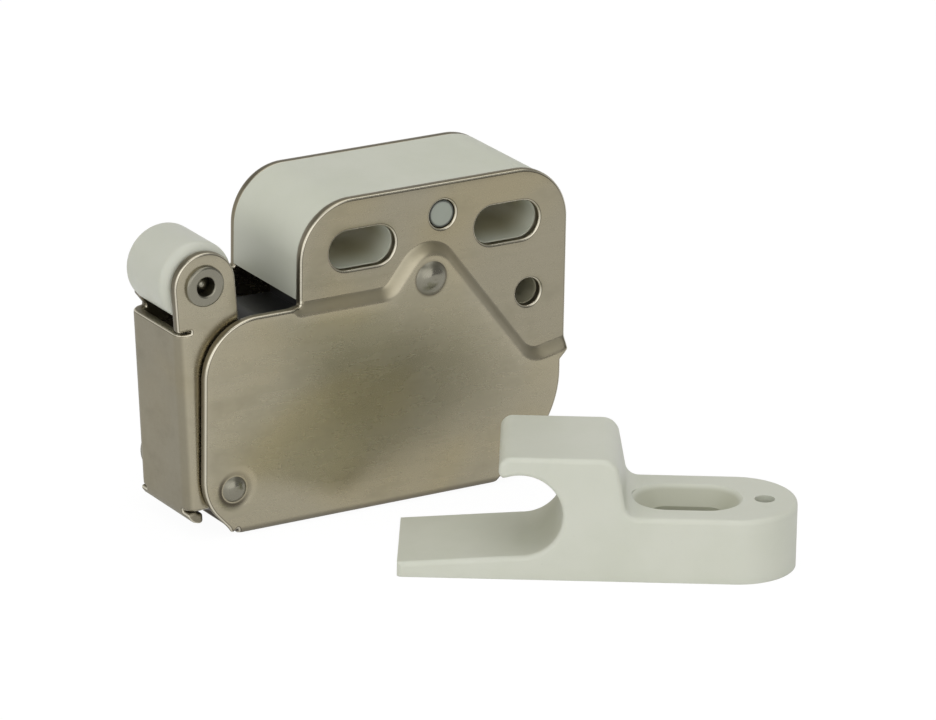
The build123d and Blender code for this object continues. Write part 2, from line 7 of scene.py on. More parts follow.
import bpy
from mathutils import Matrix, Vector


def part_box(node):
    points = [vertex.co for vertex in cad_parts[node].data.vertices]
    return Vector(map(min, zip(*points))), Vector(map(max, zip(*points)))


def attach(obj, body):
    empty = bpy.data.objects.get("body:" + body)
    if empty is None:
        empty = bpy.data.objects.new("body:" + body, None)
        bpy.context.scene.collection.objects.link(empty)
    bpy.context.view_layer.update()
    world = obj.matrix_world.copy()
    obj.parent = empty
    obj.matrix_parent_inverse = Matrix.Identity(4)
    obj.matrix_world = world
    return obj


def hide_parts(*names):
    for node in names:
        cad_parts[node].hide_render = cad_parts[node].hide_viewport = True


bl_info = {
    "name": "Roller catch",
    "version": (1, 0, 0),
    "blender": (4, 5, 0),
    "location": "3D View > Sidebar > Catch",
    "description": "Pressed, moulded and turned pieces of a push-to-open catch and its strike",
    "category": "Add Mesh",
}

from math import atan2, cos, pi, radians, sin, tan

import bmesh
import bpy
import numpy as np
from bpy.props import FloatProperty, FloatVectorProperty, PointerProperty
from bpy.types import Operator, Panel, PropertyGroup
from mathutils import Quaternion, Vector
from mathutils.geometry import delaunay_2d_cdt

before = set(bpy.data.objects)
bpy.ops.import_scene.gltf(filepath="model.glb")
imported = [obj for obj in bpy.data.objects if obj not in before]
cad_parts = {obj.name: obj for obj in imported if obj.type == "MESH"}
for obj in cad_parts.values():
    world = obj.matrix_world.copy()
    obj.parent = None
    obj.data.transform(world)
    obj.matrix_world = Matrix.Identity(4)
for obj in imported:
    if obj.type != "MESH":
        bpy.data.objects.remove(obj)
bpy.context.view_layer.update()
MM = 0.001


def solid_box(node):
    """Lowest and highest corner of a solid, in millimetres."""
    low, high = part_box(node)
    return np.array(low) / MM, np.array(high) / MM


CASE_LOW, CASE_HIGH = solid_box("casing")
BLOCK_Y = solid_box("spacer_block")[0][1]
HEAD_LOW, HEAD_HIGH = solid_box("centre_rivet")
PIVOT_LOW, PIVOT_HIGH = solid_box("arm_pivot_rivet")
ROLLER_LOW, ROLLER_HIGH = solid_box("roller")
AXLE_LOW, AXLE_HIGH = solid_box("roller_axle")
ARM_LOW, ARM_HIGH = solid_box("roller_arm")
ARM_NEAR_Y, ARM_FAR_Y = ARM_LOW[1], ARM_HIGH[1]

# Places read from the solids
FOOT_Z, TOP_Z = CASE_LOW[2], CASE_HIGH[2]
PAN_LEFT, PLATE_END = CASE_LOW[0], CASE_HIGH[0]
PAN_Y = CASE_LOW[1]
CAM_X, CAM_Z = (HEAD_LOW[0] + HEAD_HIGH[0]) / 2, (HEAD_LOW[2] + HEAD_HIGH[2]) / 2
PIVOT_X, PIVOT_Z = (PIVOT_LOW[0] + PIVOT_HIGH[0]) / 2, (PIVOT_LOW[2] + PIVOT_HIGH[2]) / 2
ROLLER_X = (ROLLER_LOW[0] + ROLLER_HIGH[0]) / 2
ROLLER_Z = (ROLLER_LOW[2] + ROLLER_HIGH[2]) / 2

# Holes of both plates and of the block, from the middle of the screw slots
SLOT_X, SLOT_LONG, SLOT_WIDE = 8.25, 7.4, 4.0
PEG_X, PEG_Z, PEG_HOLE_R = 0.8, 2.05, 1.45
FIXING_X, FIXING_Z, FIXING_R = 10.85, -7.65, 1.4

# The strike's mouth, its turn about Z, and its screw recess measured from the mouth
STRIKE_X, STRIKE_Y, STRIKE_TURN = -4.4, -38.1, radians(-32.4)
STRIKE_TOP_Z = FOOT_Z + 6.5
RECESS_ALONG, RECESS_OVER, RECESS_HALF = 16.1, 6.3, 1.8


# --- Sizes and colours ------------------------------------------------------
def length(name, default_mm, description):
    """A size in metres, given in millimetres."""
    return FloatProperty(
        name=name, description=description, default=default_mm * MM, min=0.0,
        unit="LENGTH", subtype="DISTANCE", precision=5,
    )


def colour(name, default, description):
    """A linear RGB colour."""
    return FloatVectorProperty(
        name=name, description=description, default=default, size=3, min=0.0, max=1.0,
        subtype="COLOR",
    )


class CatchSizes(PropertyGroup):
    """Sizes of the pressed and turned pieces that a maker would change."""

    sheet: length("Sheet", 1.0, "Thickness of the casing's sheet")
    rim: length("Rim", 0.3, "Radius of the sheet's punched and tumbled edges")
    pan_rise: length("Pan rise", 0.8, "How far the drawn pan stands out")
    step_width: length("Step width", 1.5, "Width of the drawn step's soft slope")
    dimple: length("Dimple", 0.16, "Depth of the dimple round the arm's pivot rivet")
    arm_sheet: length("Arm sheet", 1.0, "Thickness of the roller arm's sheet")
    arm_rim: length("Arm rim", 0.26, "Radius of the roller arm's edges")
    roller_edge: length("Roller edge", 0.95, "Rounding of the roller's ends")


class CatchColours(PropertyGroup):
    """Colours of the finishes, and the darker colours of painted shade."""

    nickel: colour("Nickel", (0.428, 0.390, 0.290), "Bright nickel plate, clean")
    nickel_tan: colour("Warm nickel", (0.462, 0.400, 0.256), "Nickel plate where it has yellowed")
    # cut also gives the dark of the painted shade: sheared edges, rim margins, the bottom fold and the
    # rings round the rivets
    cut: colour("Cut edge", (0.075, 0.062, 0.045), "Sheared edges of the sheet")
    rivet: colour("Rivet", (0.275, 0.262, 0.210), "Plated rivets and the eyelet")
    wire: colour("Wire", (0.22, 0.21, 0.20), "Drawn spring wire")
    nylon: colour("Nylon", (0.62, 0.635, 0.540), "Moulded spacer block")
    strike: colour("Strike", (0.645, 0.658, 0.572), "Moulded strike")
    # shaded is painted shade deep in the screw slots, darker still in the fixing hole
    shaded: colour("Deep nylon", (0.41, 0.385, 0.265), "Nylon deep in the screw slots")
    # peg is painted shade on the recessed end of the block's peg
    peg: colour("Peg", (0.33, 0.355, 0.305), "End of the block's peg")
    # recess is painted shade on the floor and wall of the strike's screw recess
    recess: colour("Strike recess", (0.44, 0.445, 0.345), "Floor and wall of the strike's screw recess")
    acetal: colour("Roller plastic", (0.59, 0.60, 0.525), "Roller")
    black: colour("Black plastic", (0.012, 0.012, 0.012), "Cam inside the casing")
    floor: colour("Floor", (0.86, 0.86, 0.86), "Floor under the pieces")


# --- Shader maths -----------------------------------------------------------
class Value:
    """One shader socket; Python arithmetic on it adds the Math nodes it needs."""

    def __init__(self, shader, socket):
        self.shader, self.socket = shader, socket

    def _with(self, operation, a, b):
        return self.shader.node("ShaderNodeMath", {"operation": operation}, {0: a, 1: b})

    def __add__(self, other):
        return self._with("ADD", self, other)

    def __sub__(self, other):
        return self._with("SUBTRACT", self, other)

    def __rsub__(self, other):
        return self._with("SUBTRACT", other, self)

    def __mul__(self, other):
        return self._with("MULTIPLY", self, other)

    def __truediv__(self, other):
        return self._with("DIVIDE", self, other)

    __radd__, __rmul__ = __add__, __mul__

    def limited(self):
        """The value held between 0 and 1."""
        return self.shader.node(
            "ShaderNodeMath", {"operation": "ADD", "use_clamp": True}, {0: self, 1: 0.0}
        )

    def between(self, low, high):
        """0 below low, 1 above high and smooth between them."""
        return self.shader.node(
            "ShaderNodeMapRange", {"interpolation_type": "SMOOTHSTEP"},
            {"Value": self, "From Min": low, "From Max": high},
        )


class Shader:
    """A node tree whose nodes all come from one method."""

    def __init__(self, name, owner=None):
        self.material = owner or bpy.data.materials.new(name)
        self.material.use_nodes = True
        self.tree = self.material.node_tree
        self.tree.nodes.clear()

    def node(self, kind, settings=None, sockets=None, output=0):
        """Adds a node: first its settings, then its sockets' values or links."""
        made = self.tree.nodes.new(kind)
        for key, value in (settings or {}).items():
            if key == "stops":
                ramp = made.color_ramp
                for place, tone in value[1:-1]:
                    ramp.elements.new(place)
                for element, (place, tone) in zip(ramp.elements, value):
                    element.position, element.color = place, (*tone, 1.0)
            else:
                setattr(made, key, value)
        for key, value in (sockets or {}).items():
            socket = made.inputs[key]
            if isinstance(value, Value):
                self.tree.links.new(value.socket, socket)
            elif socket.type == "RGBA" and len(value) == 3:
                socket.default_value = (*value, 1.0)
            else:
                socket.default_value = value
        return Value(self, made.outputs[output]) if made.outputs else made

    def place(self, scale=(1, 1, 1), turn=(0, 0, 0)):
        """Object coordinates, scaled and turned."""
        where = self.node("ShaderNodeTexCoord", output="Object")
        return self.node("ShaderNodeMapping", {}, {"Vector": where, "Scale": scale, "Rotation": turn})

    def noise(self, where, scale, detail=3.0, roughness=0.5, distortion=0.0):
        """Fractal noise from 0 to 1."""
        return self.node(
            "ShaderNodeTexNoise", {},
            {"Vector": where, "Scale": scale, "Detail": detail, "Roughness": roughness,
             "Distortion": distortion},
        )

    def height(self, axis="Z"):
        """One of the object coordinates, in millimetres."""
        where = self.node("ShaderNodeTexCoord", output="Object")
        return self.node("ShaderNodeSeparateXYZ", {}, {"Vector": where}, output=axis) / MM

    def blend(self, factor, a, b):
        """Colour a where the factor is 0, colour b where it is 1."""
        return self.node(
            "ShaderNodeMix", {"data_type": "RGBA"}, {"Factor": factor, 6: a, 7: b}, output=2
        )

    def bump(self, height, strength, distance, under=None):
        """Normal bent by a height, over another bump if one is given."""
        sockets = {"Height": height, "Strength": strength, "Distance": distance}
        if under is not None:
            sockets["Normal"] = under
        return self.node("ShaderNodeBump", {}, sockets)

    def finish(self, sockets):
        """Ends in a Principled shader with these sockets."""
        surface = self.node("ShaderNodeBsdfPrincipled", {}, sockets)
        self.node("ShaderNodeOutputMaterial", {}, {"Surface": surface})
        return self.material


def plated(
    name, tone, warm, cut, rolled=0.0, rough=0.27, wave=0.05,
    low=-99.0, pan=99.0, web=0.0, rivets=(),
):
    """Plated steel: rolling streaks, a faint yellowing, wiping marks and pinholes.

    Roughness is a base plus slow cloud and streak terms. The height is a long wave
    of the sheet plus fine streaks along X and tiny pits. Where the mesh carries the
    attribute cut, the sheared edge is rougher and painted dark as a painted dark
    reflection, the rounding beside it carries a painted highlight and its inner margin a
    painted dark line. The fold just above the height low is painted dark as a painted
    reflection of shade, all that lies farther back than pan is painted darker as shade,
    sloping places are rougher, the share web paints faces towards -X darker as shade,
    and a painted shadow runs round each of the rivets, darkest towards -X and -Z.
    """
    s = Shader(name)
    cloud = s.noise(s.place(), 62.0, 2.0, 0.45, 0.4)
    fog = s.noise(s.place((1.0, 1.0, 1.6)), 210.0, 4.0, 0.6)
    streak = s.noise(s.place((120.0, 1400.0, 1400.0), (0, rolled, 0)), 1.0, 3.0, 0.65)
    pits = s.noise(s.place(), 5200.0, 2.0, 0.6).between(0.62, 0.78)
    yellow = cloud.between(0.42, 0.68)
    tint = s.blend(yellow * 0.8, tone, warm)
    dull = [channel * 0.62 for channel in tone]
    tint = s.blend((fog.between(0.5, 0.85) * 0.30 + pits * 0.12 + streak * 0.12).limited(), tint, dull)
    near_cut = s.node("ShaderNodeAttribute", {"attribute_name": "cut"}, output="Fac")
    # sheared, rim and fold are masks of painted shade: a dark reflection on the sheared edge, a dark
    # line at the rim's inner margin and a dark reflection on the bottom fold
    sheared = near_cut.between(0.80, 0.99)
    rim = near_cut.between(0.04, 0.22) - near_cut.between(0.30, 0.62)
    fold = 1.0 - s.height().between(low + 0.55, low + 1.05)
    lean = s.node("ShaderNodeTexCoord", output="Normal")
    lean_x = s.node("ShaderNodeSeparateXYZ", {}, {"Vector": lean}, output="X")
    lean_y = s.node("ShaderNodeSeparateXYZ", {}, {"Vector": lean}, output="Y")
    slope = (1.0 - (lean_y * lean_y).between(0.55, 0.98)) * (1.0 - near_cut.between(0.02, 0.2))
    # Painted shade: all that lies farther back than pan (the upper zone) is 13% darker
    tint = s.blend(s.height("Y").between(pan + 0.15, pan + 0.7) * 0.13, tint, (0.0, 0.0, 0.0))
    # Painted shadow: a dark ring round each rivet, darkest towards -X and -Z
    for x, z in rivets:
        over, up = s.height("X") - x, s.height("Z") - z
        reach = over * over + up * up
        painted_shade_ring = reach.between(1.9, 2.2) - reach.between(2.5, 4.2)
        painted_shade_ring = painted_shade_ring * (0.9 - (over + up).between(-1.6, 1.4) * 0.6)
        tint = s.blend(painted_shade_ring.limited(), tint, cut)
    # Painted shade: faces turned towards -X darken by the share web
    tint = s.blend((lean_x * -1.0).between(0.5, 0.8) * web, tint, (0.0, 0.0, 0.0))
    # Painted highlight: a pale band across the middle of each rim's rounding
    painted_rim_highlight = near_cut.between(0.30, 0.50) - near_cut.between(0.76, 0.92)
    # Painted shade: those three masks take the sheet towards the dark colour cut
    tint = s.blend((rim * 0.6 + sheared * 0.45 + fold * 0.5).limited(), tint, cut)
    tint = s.blend(painted_rim_highlight * 0.7, tint, (0.80, 0.755, 0.63))
    roughness = (fog - 0.5) * 0.16 + (streak - 0.5) * 0.10 + pits * 0.15
    roughness = roughness + sheared * 0.15 + slope * 0.14 + rough
    long_wave = s.bump(s.noise(s.place(), 95.0, 1.0, 0.4), 0.55, wave * MM * 4)
    fine = s.bump(streak * 0.7 + pits * 0.5, 0.12, 0.010 * MM * 4, long_wave)
    return s.finish({
        "Base Color": tint, "Metallic": 1.0, "Roughness": roughness.limited(), "Normal": fine,
    })


def screw_holes(s, colours):
    """How deep a place lies in the block's slots and holes, and the shade colour painted down there.

    Each mask is 1 inside the slot's or hole's outline, and the painted shade follows the depth
    from the near plate: none at the mouth, darkest in the middle, and lighter towards the far plate.
    The end of the peg is painted darker as shade, with a painted dark line round it.
    """
    x, y, z = s.height("X"), s.height("Y"), s.height("Z")
    across = s.node("ShaderNodeMath", {"operation": "ABSOLUTE"}, {0: x}) - SLOT_X
    in_slot = (1.0 - (across * across).between(16.0, 18.0)) * (1.0 - (z * z).between(5.0, 6.5))
    inner = y.between(BLOCK_Y + 0.5, BLOCK_Y + 0.8)
    # Painted shade: darkest in the middle of the slots' depth, lighter towards the far plate
    deep = y.between(BLOCK_Y + 0.6, BLOCK_Y + 5.2)
    deep = deep - y.between(BLOCK_Y + 7.0, BLOCK_Y + 11.0) * 0.5
    bore = (x - FIXING_X) * (x - FIXING_X) + (z - FIXING_Z) * (z - FIXING_Z)
    hole = (1.0 - bore.between(2.2, 3.0)) * inner * 0.9
    reach = (x - PEG_X) * (x - PEG_X) + (z - PEG_Z) * (z - PEG_Z)
    peg = (1.0 - reach.between(2.0, 2.3)) * (1.0 - y.between(BLOCK_Y + 0.4, BLOCK_Y + 0.6))
    # Painted shade colours: shaded in the slots, darker in the fixing hole
    dark = s.blend(hole, colours.shaded, [channel * 0.75 for channel in colours.shaded])
    # Painted shade: the peg's end in colour peg, with a darker line round it
    line = [channel * 0.25 for channel in colours.peg]
    painted_shade_ring = s.blend(reach.between(1.30, 1.62), colours.peg, line)
    return (in_slot * inner * deep + hole + peg).limited(), s.blend(peg, dark, painted_shade_ring)


def screw_recess(s, colours):
    """Painted shade inside the strike's screw recess: a rounded slot about its middle, below the top.
    """
    x, y, z = s.height("X") - STRIKE_X, s.height("Y") - STRIKE_Y, s.height("Z")
    along = x * cos(STRIKE_TURN) + y * sin(STRIKE_TURN) - RECESS_ALONG
    over = y * cos(STRIKE_TURN) - x * sin(STRIKE_TURN) - RECESS_OVER
    past = s.node("ShaderNodeMath", {"operation": "ABSOLUTE"}, {0: along}) - RECESS_HALF
    past = s.node("ShaderNodeMath", {"operation": "MAXIMUM"}, {0: past, 1: 0.0})
    inside = 1.0 - (past * past + over * over).between(12.2, 13.2)
    below = 1.0 - z.between(STRIKE_TOP_Z - 0.5, STRIKE_TOP_Z - 0.05)
    # Painted shade: the recess is taken most of the way to colour recess
    return inside * below * 0.8, colours.recess


def moulded(name, tone, rough=0.42, milky=0.12, grain=900.0, shade=None):
    """Moulded plastic: a slightly uneven tone, a fine spark-eroded grain, soft depth.

    shade, if given, is a function of the shader that returns a mask and the colour there.
    """
    s = Shader(name)
    cloud = s.noise(s.place(), 120.0, 3.0, 0.55)
    specks = s.noise(s.place(), 2600.0, 2.0, 0.5).between(0.66, 0.8)
    grime = s.noise(s.place(), 420.0, 5.0, 0.65, 0.5).between(0.56, 0.82)
    deep = [channel * factor for channel, factor in zip(tone, (0.90, 0.915, 0.88))]
    tint = s.blend((cloud.between(0.35, 0.7) * 0.45 + grime * 0.25).limited(), tone, deep)
    tint = s.blend(specks * 0.12, tint, [channel * 0.7 for channel in tone])
    if shade is not None:
        mask, dark = shade(s)
        tint = s.blend(mask, tint, dark)
    texture = s.noise(s.place(), grain, 4.0, 0.6)
    roughness = (cloud - 0.5) * 0.14 + (texture - 0.5) * 0.12 + rough
    swell = s.bump(s.noise(s.place(), 160.0, 1.0, 0.4), 0.35, 0.05 * MM)
    normal = s.bump(texture, 0.35, 0.02 * MM, swell)
    return s.finish({
        "Base Color": tint, "Roughness": roughness.limited(), "Normal": normal,
        "Subsurface Weight": milky, "Subsurface Radius": (1.0, 0.95, 0.8),
        "Subsurface Scale": 0.9 * MM, "IOR": 1.5,
    })


def drawn_wire(name, tone, axis_scale):
    """Drawn spring wire: draw marks along it and a thin oil film."""
    s = Shader(name)
    marks = s.noise(s.place(axis_scale), 1.0, 3.0, 0.6)
    film = s.noise(s.place(), 300.0, 3.0, 0.5)
    tint = s.blend(film.between(0.4, 0.7) * 0.5, tone, [channel * 0.6 for channel in tone])
    return s.finish({
        "Base Color": tint, "Metallic": 1.0,
        "Roughness": ((marks - 0.5) * 0.2 + film * 0.15 + 0.26).limited(),
        "Normal": s.bump(marks, 0.3, 0.01 * MM),
    })


# --- Mesh making ------------------------------------------------------------
def new_piece(name, points, faces, material, body, cut=None):
    """A smooth mesh object from points in millimetres and index faces, riding on a body.

    cut, if given, is 1 at each point on a sheared edge and falls to 0 across its rim.
    """
    mesh = bpy.data.meshes.new(name)
    mesh.from_pydata((np.asarray(points, float) * MM).tolist(), [], [list(f) for f in faces])
    mesh.validate()
    mesh.polygons.foreach_set("use_smooth", np.ones(len(mesh.polygons), bool))
    if cut is not None:
        nearness = mesh.attributes.new("cut", "FLOAT", "POINT")
        nearness.data.foreach_set("value", cut.astype(np.float32))
    mesh.update()
    made = bpy.data.objects.new(name, mesh)
    bpy.context.scene.collection.objects.link(made)
    mesh.materials.append(material)
    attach(made, body)
    return made


def dress(node, material):
    """Gives a solid's own mesh a better material."""
    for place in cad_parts[node].material_slots:
        place.material = material


def rounded(corners, step=0.35):
    """Closed loop through corners (x, y, radius), one point every step or closer.

    A corner of radius r becomes the arc that touches both its sides: it starts
    r / tan(half the corner's angle) away from the corner along each side.
    """
    corner = np.array([c[:2] for c in corners], float)
    radii = [c[2] for c in corners]
    loop = []
    for i, radius in enumerate(radii):
        here, before, after = corner[i], corner[i - 1], corner[(i + 1) % len(corner)]
        if not radius:
            loop.append(here[None])
            continue
        a = (before - here) / np.linalg.norm(before - here)
        b = (after - here) / np.linalg.norm(after - here)
        half = np.arccos(np.clip(a @ b, -1, 1)) / 2
        middle = here + (a + b) / np.linalg.norm(a + b) * radius / np.sin(half)
        first = here + a * radius / np.tan(half) - middle
        last = here + b * radius / np.tan(half) - middle
        start = np.arctan2(first[1], first[0])
        turn = (np.arctan2(last[1], last[0]) - start + pi) % (2 * pi) - pi
        count = max(4, int(abs(turn) * radius / step) + 1, int(abs(turn) / 0.16))
        angles = start + turn * np.linspace(0, 1, count + 1)
        loop.append(middle + radius * np.stack([np.cos(angles), np.sin(angles)], 1))
    loop = np.concatenate(loop)
    after = np.roll(loop, -1, 0)
    counts = np.maximum(1, np.ceil(np.linalg.norm(after - loop, axis=1) / step).astype(int))
    loop = np.concatenate([
        a + (b - a) * (np.arange(count) / count)[:, None]
        for a, b, count in zip(loop, after, counts)
    ])
    keep = np.linalg.norm(loop - np.roll(loop, 1, 0), axis=1) > 1e-4
    return loop[keep]


def ring(x, y, radius, count=40):
    """Circle as a closed loop."""
    angles = np.linspace(0, 2 * pi, count, endpoint=False)
    return np.stack([x + radius * np.cos(angles), y + radius * np.sin(angles)], 1)


def slot_loop(x, y, long, wide):
    """Round-ended slot along the first axis, as a closed loop."""
    a, b = long / 2, wide / 2
    r = b * 0.999
    return rounded([(x - a, y - b, r), (x + a, y - b, r), (x + a, y + b, r), (x - a, y + b, r)], 0.3)


def away(points, loops):
    """Distance of each point from the nearest side of the closed loops."""
    start = np.concatenate(loops)
    end = np.concatenate([np.roll(loop, -1, 0) for loop in loops])
    side = end - start
    size = (side**2).sum(1)
    result = np.empty(len(points))
    for part in np.array_split(np.arange(len(points)), max(1, len(points) // 1200)):
        offset = points[part][:, None] - start
        share = np.clip((offset * side).sum(2) / size, 0, 1)
        result[part] = np.sqrt(((offset - share[..., None] * side) ** 2).sum(2).min(1))
    return result


def within(points, loop):
    """True for points inside a closed loop: a ray to the right crosses it an odd number of times."""
    end = np.roll(loop, -1, 0)
    x, y = points[:, 0, None], points[:, 1, None]
    crosses = (loop[:, 1] > y) != (end[:, 1] > y)
    rise = np.where(end[:, 1] == loop[:, 1], 1e-12, end[:, 1] - loop[:, 1])
    at = loop[:, 0] + (y - loop[:, 1]) * (end[:, 0] - loop[:, 0]) / rise
    return (crosses & (x < at)).sum(1) % 2 == 1


def pressed_sheet(blank, holes, shape, half, rim, coarse, fine, busy, rows=None, band=None):
    """Both faces and the rounded rim of a pressed sheet, from its flat blank.

    The blank is filled with triangles in its own plane. A point at a distance d from
    the nearest cut edge lies half - rim + sqrt(rim^2 - (rim - d)^2) above and below the
    middle of the sheet, so each edge is a quarter round. shape takes the flat points to
    the middle of the bent sheet and its normal. busy marks where the mesh is finer, and
    band where only the points of rows are used. The last result is each point's nearness
    to a cut edge, 1 on it and 0 past the rim.
    """
    loops = [blank, *holes]
    angles = np.radians([30, 60, 90])
    scatter = []
    for loop in loops:
        along = np.roll(loop, -1, 0) - np.roll(loop, 1, 0)
        inward = np.stack([-along[:, 1], along[:, 0]], 1)
        inward /= np.linalg.norm(inward, axis=1)[:, None]
        for depth in rim * (1 - np.cos(angles)):
            for hand in (1, -1):
                moved = loop + hand * inward * depth
                scatter.append(moved[np.abs(away(moved, loops) - depth) < 0.02 * rim])
    low, high = blank.min(0), blank.max(0)

    def lattice(gap, seed):
        """Points gap apart over the blank, every other row shifted, each nudged a little."""
        u, v = np.meshgrid(np.arange(low[0], high[0], gap), np.arange(low[1], high[1], gap))
        u = u + (np.arange(u.shape[0]) % 2)[:, None] * gap / 2
        points = np.stack([u.ravel(), v.ravel()], 1)
        return points + np.random.default_rng(seed).uniform(-0.04, 0.04, points.shape) * gap

    grid, dense = lattice(coarse, 1), lattice(fine, 2)
    grid = np.concatenate([grid[~busy(grid)], dense[busy(dense)]])
    if rows is not None:
        grid = np.concatenate([grid[~band(grid)], rows])
    scatter.append(grid[away(grid, loops) > rim * 1.25])
    scatter = np.concatenate(scatter)
    scatter = scatter[within(scatter, blank)]
    for hole in holes:
        scatter = scatter[~within(scatter, hole)]
    ties, at = [], 0
    for loop in loops:
        index = np.arange(len(loop)) + at
        ties.append(np.stack([index, np.roll(index, -1)], 1))
        at += len(loop)
    flat = np.concatenate([*loops, scatter])
    spots, _, triangles, *_ = delaunay_2d_cdt(
        [Vector(p) for p in flat.tolist()], np.concatenate(ties).tolist(), [], 1, 1e-5
    )
    flat, triangles = np.array(spots), np.array(triangles)
    middle = flat[triangles].mean(1)
    keep = within(middle, blank)
    for hole in holes:
        keep &= ~within(middle, hole)
    triangles = triangles[keep]
    used, triangles = np.unique(triangles, return_inverse=True)
    flat, triangles = flat[used], triangles.reshape(-1, 3)

    depth = np.minimum(away(flat, loops), rim)
    lift = half - rim + np.sqrt(np.maximum(rim**2 - (rim - depth) ** 2, 0))
    base, normal = shape(flat)
    points = np.concatenate([base + normal * lift[:, None], base - normal * lift[:, None]])
    corner = points[triangles]
    facing = np.cross(corner[:, 1] - corner[:, 0], corner[:, 2] - corner[:, 0])
    if (facing * normal[triangles[:, 0]]).sum() < 0:
        triangles = triangles[:, ::-1]
    sides = np.concatenate([triangles[:, [0, 1]], triangles[:, [1, 2]], triangles[:, [2, 0]]])
    _, which, count = np.unique(np.sort(sides, 1), axis=0, return_index=True, return_counts=True)
    edge = sides[which[count == 1]]
    under = len(flat)
    faces = [*triangles.tolist(), *(triangles[:, ::-1] + under).tolist()]
    faces += np.stack([edge[:, 1], edge[:, 0], edge[:, 0] + under, edge[:, 1] + under], 1).tolist()
    return points, faces, np.tile(1 - depth / rim, 2)


def turned_piece(profile, x, z, count=96):
    """Surface of revolution about a Y axis at x, z.

    The profile is rows of (radius, y). The point of row i at the angle a lies at
    (x + radius cos a, y, z + radius sin a). Doubled points at the poles are left in for sealed to
    merge.
    """
    profile = np.asarray(profile, float)
    angles = np.linspace(0, 2 * pi, count, endpoint=False)
    radius, y = profile[:, :1], profile[:, 1:]
    points = np.stack([x + radius * np.cos(angles), y + 0 * angles, z + radius * np.sin(angles)], 2)
    rows, turn = np.meshgrid(np.arange(len(profile) - 1), np.arange(count), indexing="ij")
    a, b = rows * count + turn, rows * count + (turn + 1) % count
    return points.reshape(-1, 3), np.stack([a, b, b + count, a + count], 2).reshape(-1, 4).tolist()


def sealed(made):
    """Merges doubled points and makes the faces of a closed piece point outwards."""
    shell = bmesh.new()
    shell.from_mesh(made.data)
    bmesh.ops.remove_doubles(shell, verts=shell.verts, dist=1e-6)
    bmesh.ops.recalc_face_normals(shell, faces=shell.faces)
    shell.to_mesh(made.data)
    shell.free()
    return made


def arc(x, y, radius, start, end, count=9):
    """Points of an arc, angles in degrees."""
    angles = np.radians(np.linspace(start, end, count))
    return np.stack([x + radius * np.cos(angles), y + radius * np.sin(angles)], 1)


# --- Casing -----------------------------------------------------------------
WEB_LEFT, WEB_RIGHT = PAN_LEFT + 4.0, PLATE_END - 7.8
PAN_RIGHT = PLATE_END - 0.9
FAR_LEFT, FAR_INSET = PAN_LEFT + 1.2, 0.2
PAN_TOP_Z = TOP_Z - 10.1
SHOULDER_Z = TOP_Z - 19.5
FLANK = radians(52.0)
APEX_Z = CAM_Z + 3.2 / cos(FLANK)
STEP_LOW_Z = TOP_Z - 19.4


